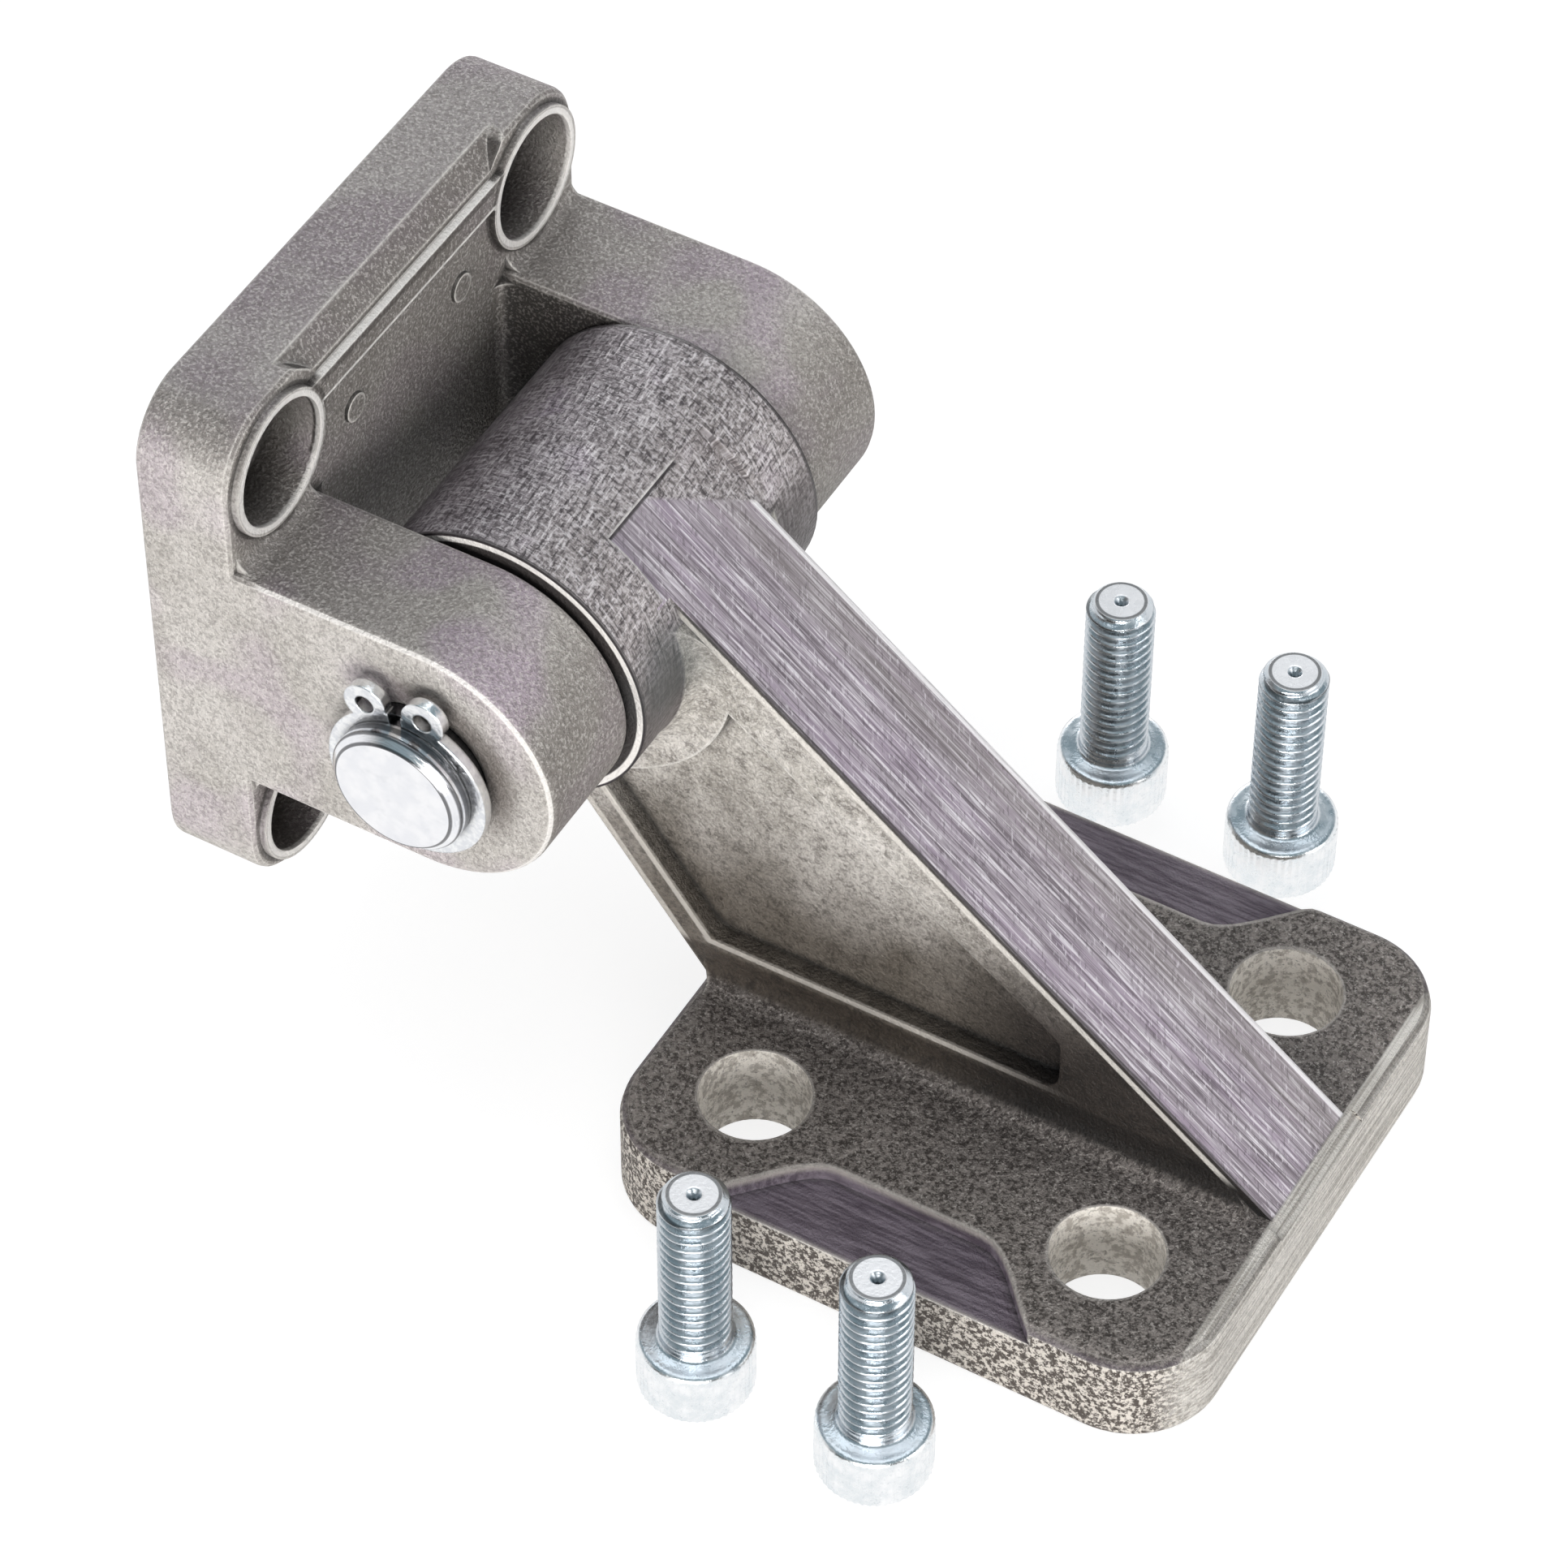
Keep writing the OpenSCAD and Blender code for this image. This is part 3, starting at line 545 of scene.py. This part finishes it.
    # Painted light: the hub lighter towards its +X side
    rubbed_and_shaded = t.mix(t.ramp(f[0], -4.0, 6.0, 0.0, 0.45), rubbed_and_shaded, rgb(168, 162, 156))
    rubbed_and_shaded = t.mix(t.ramp(low_mark, 0.46, 0.37, 0.0, 0.85), rubbed_and_shaded, rgb(56, 49, 52))
    rubbed_and_shaded = t.mix(t.ramp(high_mark, 0.55, 0.64, 0.0, 0.6), rubbed_and_shaded, rgb(234, 229, 231))
    peened = t.noise(flat_map, 2.3, 2.0, 0.7)
    rubbed_and_shaded = t.mix(t.ramp(peened, 0.48, 0.4, 0.0, 0.6), rubbed_and_shaded, rgb(62, 55, 58))
    rubbed_and_shaded = t.mix(t.ramp(peened, 0.54, 0.62, 0.0, 0.5), rubbed_and_shaded, rgb(216, 210, 213))
    # Painted shade: the hub darker towards the flange and lower down
    rubbed_and_shaded = t.mix(t.ramp(f[0], -2.0, -11.5, 0.0, 0.5), rubbed_and_shaded, rgb(82, 75, 80))
    hub_shade_height = t.math("ADD", xyz[2], t.product(patch, 8.0))
    rubbed_and_shaded = t.mix(t.ramp(hub_shade_height, 59.0, 51.0, 0.0, 0.7), rubbed_and_shaded, rgb(80, 74, 74))

    # Painted shadow where the ground flat steps down from the hub, bright edges of wear with a painted
    # highlight, painted shade in hollows and on the rims of the hub
    step_shadow = t.product(t.band(reach, START_MM + 0.05, 0.22), t.ramp(f[1], 3.6, 3.0),
                          t.ramp(f[1], -7.8, -7.3), t.ramp(away, 0.6, 0.4))
    quiet = t.product(t.ramp(f[1], 2.6, 3.2), t.ramp(away, 1.6, 1.3), t.ramp(reach, 11.0, 9.0))
    edge_left = t.product(edge_wear_and_highlight, t.inverse(quiet), t.inverse(step_shadow))
    rubbed_and_shaded = t.mix(t.product(edge_left, 0.8), rubbed_and_shaded, rgb(244, 240, 238))
    rubbed_and_shaded = t.mix(t.ramp(hollow_shade, 0.75, 0.3, 0.0, 0.6), rubbed_and_shaded, rgb(48, 42, 44))
    hub_rim_shade = t.ramp(abs_y, HUB_END_MM - 0.35, HUB_END_MM - 0.25, 0.0, 0.8)
    rubbed_and_shaded = t.mix(hub_rim_shade, rubbed_and_shaded, rgb(52, 46, 48))

    # End faces of the hub: painted shade, with a painted highlight as a thin bright ring
    end_face = t.product(t.ramp(abs_y, HUB_END_MM - 0.15, HUB_END_MM - 0.05),
                         t.ramp(radius, HUB_MM + 0.3, HUB_MM + 0.2))
    end_shading = t.mix(t.ramp(radius, 12.4, 12.55), rgb(54, 49, 48), rgb(236, 232, 228))
    end_shading = t.mix(t.ramp(radius, 12.95, 13.05), end_shading, rgb(52, 46, 48))
    colour = t.mix(hub, skin, rubbed_and_shaded)
    colour = t.mix(end_face, colour, end_shading)

    # Painted shade in the corner where the hub, the arm's side and the ground flat meet
    from_shade_spot = t.vector("LENGTH", t.vector("SUBTRACT", p, (-28.5, -9.5, 48.0)))
    colour = t.mix(t.ramp(from_shade_spot, 6.0, 2.0, 0.0, 0.6), colour, rgb(74, 80, 80))
    colour = t.mix(strap, colour, cut)
    # Painted shadow at the step
    colour = t.mix(t.product(step_shadow, 0.85), colour, rgb(46, 40, 44))
    rough = t.ramp(t.highest(hub, strap), 0.0, 1.0, 0.6, 0.42)
    cast_h = t.math("ADD", t.product(grain, 0.8), t.product(fine, 0.5))
    cut_h = t.math("ADD", t.product(lines, 0.3), t.product(scores, 0.3))
    height = t.choose(strap, t.choose(hub, cast_h, t.product(low_mark, 0.7)), cut_h)
    return t.metal(colour, rough, t.bump(height, 0.0003, soft), 0.3)


def pin_material():
    t = Tree("bright_steel")
    p = t.place_mm()
    soft = t.soft_edges(0.0002)
    rings = t.noise(t.stretch(p, (0.7, 5.0, 0.7)), 1.0, 2.0, 0.6)
    smudge = t.noise(p, 0.5, 2.0, 0.5)
    near = t.shelter(0.0025, 8, False)
    colour = t.mix(t.ramp(smudge, 0.35, 0.7), rgb(240, 241, 245), rgb(250, 250, 252))
    colour = t.mix(t.ramp(rings, 0.5, 0.75, 0.0, 0.2), colour, rgb(206, 209, 215))
    xyz = t.node("ShaderNodeSeparateXYZ", p).outputs
    middle = (pin_lo.y + pin_hi.y) * 500
    out_y = t.math("ABSOLUTE", t.math("SUBTRACT", xyz[1], middle))
    end = (pin_hi.y - pin_lo.y) * 500
    from_axis = t.vector("LENGTH", t.vector("SUBTRACT", t.vector("MULTIPLY", p, (1, 0, 1)), PIN_MM))
    # Painted dark reflections: rings round the pin near its end, and round the edge of its end face
    on_end = t.product(t.band(from_axis, 5.35, 0.1), t.ramp(out_y, end - 0.2, end - 0.1))
    dark_reflection_lines = t.highest(t.band(out_y, end - 0.75, 0.12), t.band(out_y, end - 1.5, 0.2), on_end)
    colour = t.mix(t.product(dark_reflection_lines, 0.8), colour, rgb(54, 54, 58))
    # Painted shade where other parts stand close
    colour = t.mix(t.ramp(near, 0.85, 0.45, 0.0, 0.95), colour, rgb(20, 20, 22))
    rough = t.ramp(rings, 0.3, 0.7, 0.12, 0.2)
    return t.metal(colour, rough, t.bump(rings, 0.00002, soft), 1.0)


def clip_material():
    t = Tree("spring_steel")
    p = t.place_mm()
    soft = t.soft_edges(0.00025)
    grain = t.noise(p, 1.6, 2.0, 0.6)
    near = t.shelter(0.002, 8, False)
    colour = t.mix(t.ramp(grain, 0.35, 0.65), rgb(228, 230, 234), rgb(248, 249, 250))
    # Painted shade where other parts stand close
    colour = t.mix(t.ramp(near, 0.72, 0.4, 0.0, 0.95), colour, rgb(22, 22, 24))
    return t.metal(colour, t.ramp(grain, 0.3, 0.7, 0.16, 0.26), t.bump(grain, 0.00003, soft), 1.0)


def zinc_material():
    t = Tree("zinc_steel")
    p = t.place_mm()
    soft = t.soft_edges(0.00012)
    bloom = t.noise(p, 0.7, 3.0, 0.6)
    fine = t.noise(p, 3.0, 2.0, 0.6)
    near = t.shelter(0.0012, 6)
    colour = t.mix(t.ramp(bloom, 0.3, 0.7), rgb(232, 237, 240), rgb(250, 251, 252))
    colour = t.mix(t.ramp(fine, 0.58, 0.75, 0.0, 0.3), colour, rgb(176, 186, 194))
    # Painted shade in corners
    colour = t.mix(t.ramp(near, 0.7, 0.3, 0.0, 0.75), colour, rgb(54, 60, 62))
    xyz = t.node("ShaderNodeSeparateXYZ", p).outputs
    from_axis = t.vector("LENGTH", t.vector("MULTIPLY", p, (1, 1, 0)))
    end = (HEAD_H + SHANK) * 1000
    # Painted reflections at the tip: its end face painted white and made less metallic, with dark rings
    # round the face and under the chamfer
    face = t.ramp(xyz[2], end - 0.1, end - 0.04)
    tip_dark_ring = t.product(face, t.band(from_axis, 2.1, 0.1))
    chamfer_dark_line = t.band(xyz[2], end - 0.85, 0.07)
    head_top = HEAD_H * 1000
    above_head = t.ramp(xyz[2], head_top - 0.2, head_top - 0.1)
    colour = t.mix(above_head, colour, rgb(222, 226, 230), "MULTIPLY")
    colour = t.mix(face, colour, rgb(250, 250, 252))
    colour = t.mix(t.product(t.highest(tip_dark_ring, chamfer_dark_line), 0.75), colour, rgb(46, 50, 52))
    material = t.metal(colour, t.ramp(bloom, 0.3, 0.7, 0.22, 0.34), t.bump(fine, 0.00003, soft), 1.0)
    t.put(t.shader.inputs["Metallic"], t.ramp(face, 0.0, 1.0, 1.0, 0.25))
    return material


def bronze_material():
    t = Tree("bronze")
    p = t.place_mm()
    pores = t.cells(p, 3.0)
    cloud = t.noise(p, 0.6, 2.0, 0.5)
    colour = t.mix(t.ramp(cloud, 0.3, 0.7), rgb(176, 138, 84), rgb(204, 168, 112))
    colour = t.mix(t.ramp(pores, 0.16, 0.05), colour, rgb(96, 70, 40))
    return t.metal(colour, 0.38, t.bump(pores, 0.00006, t.soft_edges(0.0002)), 1.0)


MATERIALS = {
    "cast_clevis": clevis_material(),
    "cast_bracket": bracket_material(),
    "bright_steel": pin_material(),
    "spring_steel": clip_material(),
    "zinc_steel": zinc_material(),
    "bronze": bronze_material(),
}

SLOT_OF = {row["node"]: row["material_slot"] for row in frame["record"]["subparts"]}
for node, obj in frame["nodes"].items():
    obj.data.materials.clear()
    obj.data.materials.append(MATERIALS[SLOT_OF[node]])


# Cap screw, standing on its head: knurled head, hexagon socket, rolled thread
def thread_profile(turn):
    """0 at the crest of the rolled profile, 1 at its root."""
    f = turn % 1.0
    d = abs(f - 0.5) * 2
    return min(1.0, max(0.0, (d - 0.14) / 0.62))


def ring(bm, points):
    return [bm.verts.new(p) for p in points]


def skin_rings(bm, a, b, smooth=True):
    n = len(a)
    for i in range(n):
        face = bm.faces.new((a[i], a[(i + 1) % n], b[(i + 1) % n], b[i]))
        face.smooth = smooth


def angle_at(i):
    return 2 * math.pi * i / AROUND


def knurled(radius):
    """Radius at each step round a head whose teeth alternate."""
    return lambda i: radius - KNURL if i % 2 else radius


def hexagon(across, least=0.0):
    """Radius at each step round a hexagon, nowhere under the least."""
    def radius(i):
        from_flat = (angle_at(i) + math.pi / 6) % (math.pi / 3) - math.pi / 6
        return max(across / 2 / math.cos(from_flat), least)
    return radius


def screw_mesh():
    bm = bmesh.new()
    rings = []

    def add_ring(radius, z, smooth):
        points = []
        for i in range(AROUND):
            r = radius(i) if callable(radius) else radius
            points.append((r * math.cos(angle_at(i)), r * math.sin(angle_at(i)), z))
        rings.append((ring(bm, points), smooth))

    # Socket: floor with a drill point, hexagon walls, chamfered mouth
    drill_point = bm.verts.new((0, 0, SOCKET_DEPTH + 0.0005))
    add_ring(hexagon(SOCKET_AF - 0.0004), SOCKET_DEPTH, False)
    inner = rings[0][0]
    for i in range(AROUND):
        bm.faces.new((drill_point, inner[(i + 1) % AROUND], inner[i])).smooth = False
    add_ring(hexagon(SOCKET_AF - 0.00002), SOCKET_DEPTH - 0.0001, False)
    add_ring(hexagon(SOCKET_AF), 0.0003, False)
    add_ring(hexagon(SOCKET_AF, 0.00292), 0.0, False)

    # Head: bottom face, chamfer, knurled side, rounded shoulder, washer face, fillet to the shank
    add_ring(HEAD_R - 0.0006, 0.0, False)
    add_ring(HEAD_R - 0.00045, 0.00005, True)
    add_ring(knurled(HEAD_R - 0.00015), 0.0003, False)
    add_ring(knurled(HEAD_R), 0.0006, False)
    add_ring(knurled(HEAD_R), HEAD_H - 0.0006, False)
    add_ring(HEAD_R - 0.00012, HEAD_H - 0.00025, True)
    add_ring(HEAD_R - 0.0004, HEAD_H - 0.00008, True)
    add_ring(HEAD_R - 0.0007, HEAD_H - 0.00005, True)
    add_ring(0.0037, HEAD_H - 0.00005, True)
    add_ring(0.0036, HEAD_H, True)
    add_ring(0.0034, HEAD_H, True)
    add_ring(0.00312, HEAD_H + 0.00012, True)

    # Thread, helical, run out under the head and chamfered at the tip
    per_turn = 10
    steps = int(SHANK / PITCH * per_turn)
    for k in range(3, steps + 1):
        z = SHANK * k / steps
        under = min(1.0, max(0.0, (z - 0.0006) / 0.001))
        tip = max(0.0, z - (SHANK - 0.0008))

        def threaded(i):
            depth = thread_profile(z / PITCH - i / AROUND) * THREAD_DEPTH * under
            return min(SCREW_R - depth, SCREW_R - tip)

        add_ring(threaded, HEAD_H + z, True)

    # Tip: a flat face with a small centre mark
    end = HEAD_H + SHANK
    add_ring(0.0021, end, False)
    add_ring(CENTRE_R, end, False)
    add_ring(CENTRE_R - 0.00015, end - 0.0001, True)
    add_ring(CENTRE_R - 0.00045, end - 0.0006, True)
    for (a, _), (b, smooth) in zip(rings, rings[1:]):
        skin_rings(bm, a, b, smooth)
    last = rings[-1][0]
    point = bm.verts.new((0, 0, end - CENTRE_DEPTH))
    for i in range(AROUND):
        bm.faces.new((last[i], last[(i + 1) % AROUND], point))
    bmesh.ops.recalc_face_normals(bm, faces=bm.faces)
    mesh = bpy.data.meshes.new("screw_detail")
    bm.to_mesh(mesh)
    bm.free()
    mesh.materials.append(MATERIALS["zinc_steel"])
    return mesh


shared_screw = screw_mesh()
for i in range(4):
    lo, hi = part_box(f"cap_screw_{i + 1}")
    screw = bpy.data.objects.new(f"screw_detail_{i + 1}", shared_screw)
    scene.collection.objects.link(screw)
    screw.location = ((lo.x + hi.x) / 2, (lo.y + hi.y) / 2, lo.z)
    screw.rotation_euler = (0, 0, TURNS[i])
    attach(screw, f"screw_{i + 1}")
    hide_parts(f"cap_screw_{i + 1}")


# Floor and background: plain and pale, white to the camera, with the object's soft shadow
def floor_material():
    t = Tree("floor")
    rays = t.nodes.new("ShaderNodeLightPath").outputs
    diffuse = t.node("ShaderNodeBsdfDiffuse", (0.8, 0.8, 0.8, 1)).outputs[0]
    shaded = t.node("ShaderNodeBsdfDiffuse", (0.34, 0.34, 0.34, 1)).outputs[0]
    glow = t.node("ShaderNodeEmission", (0.79, 0.79, 0.79, 1), 1.0).outputs[0]
    seen = t.node("ShaderNodeAddShader", shaded, glow).outputs[0]
    white = t.node("ShaderNodeEmission", WHITE, 1.0).outputs[0]
    to_camera = t.node("ShaderNodeMixShader", rays["Is Camera Ray"], diffuse, seen).outputs[0]
    mirrored = t.highest(rays["Is Glossy Ray"], rays["Is Transmission Ray"])
    final = t.node("ShaderNodeMixShader", mirrored, to_camera, white).outputs[0]
    t.links.new(final, t.out.inputs[0])
    return t.material


bm = bmesh.new()
bmesh.ops.create_grid(bm, x_segments=1, y_segments=1, size=2.0)
mesh = bpy.data.meshes.new("floor")
bm.to_mesh(mesh)
bm.free()
floor = bpy.data.objects.new("floor", mesh)
floor.location = (0, 0, -0.00002)
mesh.materials.append(floor_material())
scene.collection.objects.link(floor)
floor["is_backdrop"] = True

world = bpy.data.worlds.new("studio")
scene.world = world
w = Nodes(world, "ShaderNodeOutputWorld")
rays = w.nodes.new("ShaderNodeLightPath").outputs
fill = w.node("ShaderNodeBackground", (0.95, 0.97, 1.0, 1), 0.36).outputs[0]
plain = w.node("ShaderNodeBackground", WHITE, 1.0).outputs[0]

# Reflections: white sweep behind the object, blue-grey overhead, a dark room in front
sky = w.nodes.new("ShaderNodeTexCoord").outputs["Generated"]
behind = w.ramp(w.vector("DOT_PRODUCT", sky, (-0.5, 0.87, 0)), -0.45, 0.15)
above = w.ramp(w.node("ShaderNodeSeparateXYZ", sky).outputs[2], 0.3, 0.62)
walls = w.mix(behind, (0.05, 0.055, 0.058, 1), WHITE)
room = w.node("ShaderNodeBackground", w.mix(above, walls, (0.24, 0.31, 0.34, 1)), 1.0).outputs[0]

seen_plain = w.math("MAXIMUM", rays["Is Camera Ray"], rays["Is Transmission Ray"])
lit = w.node("ShaderNodeMixShader", rays["Is Glossy Ray"], fill, room).outputs[0]
final = w.node("ShaderNodeMixShader", seen_plain, lit, plain).outputs[0]
w.links.new(final, w.out.inputs[0])


def softbox(name, place, target, size, power, colour=(1, 1, 1)):
    data = bpy.data.lights.new(name, "AREA")
    data.shape = "RECTANGLE"
    data.size = size[0]
    data.size_y = size[1]
    data.energy = power
    data.color = colour
    lamp = bpy.data.objects.new(name, data)
    lamp.location = place
    lamp.rotation_mode = "QUATERNION"
    lamp.rotation_quaternion = (Vector(target) - Vector(place)).to_track_quat("-Z", "Y")
    scene.collection.objects.link(lamp)


OBJECT_MIDDLE = (-0.02, 0, 0.03)
softbox("key", (0.35, -0.95, 0.22), OBJECT_MIDDLE, (0.8, 0.5), 12.0, (1.0, 0.99, 0.975))
softbox("over", (-0.1, 0.1, 0.9), OBJECT_MIDDLE, (0.8, 0.8), 2.6, (0.97, 0.98, 1.0))
softbox("right", (0.9, 0.05, 0.3), (0, 0, 0.03), (0.5, 0.5), 2.5)
softbox("back", (-0.5, 0.85, 0.19), OBJECT_MIDDLE, (0.7, 0.3), 3.0)

# Camera of the photograph, fitted to the part's sizes
AZIMUTH = math.radians(29.81)
ELEVATION = math.radians(47.72)
ROLL = math.radians(0.163)
FOCAL_PIXELS = 7958.2
PHOTO_PIXELS = 1932
SENSOR = 36
TARGET = Vector((-23.62, 1.1, 27.06)) * MM
DISTANCE = 0.5334
to_side = Vector((math.sin(AZIMUTH), -math.cos(AZIMUTH), 0))
back = to_side * math.cos(ELEVATION) + Vector((0, 0, math.sin(ELEVATION)))
flat_right = Vector((math.cos(AZIMUTH), math.sin(AZIMUTH), 0))
flat_up = back.cross(flat_right)
right = flat_right * math.cos(ROLL) + flat_up * math.sin(ROLL)
up = -flat_right * math.sin(ROLL) + flat_up * math.cos(ROLL)
lens = bpy.data.cameras.new("photo_camera")
lens.sensor_width = SENSOR
lens.lens = FOCAL_PIXELS / PHOTO_PIXELS * SENSOR
lens.clip_start = 0.02
lens.clip_end = 10
camera = bpy.data.objects.new("photo_camera", lens)
place = TARGET + back * DISTANCE
camera.matrix_world = Matrix((
    (right.x, up.x, back.x, place.x),
    (right.y, up.y, back.y, place.y),
    (right.z, up.z, back.z, place.z),
    (0, 0, 0, 1),
))
scene.collection.objects.link(camera)
scene.camera = camera
scene.view_settings.view_transform = "Standard"

lo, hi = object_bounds()
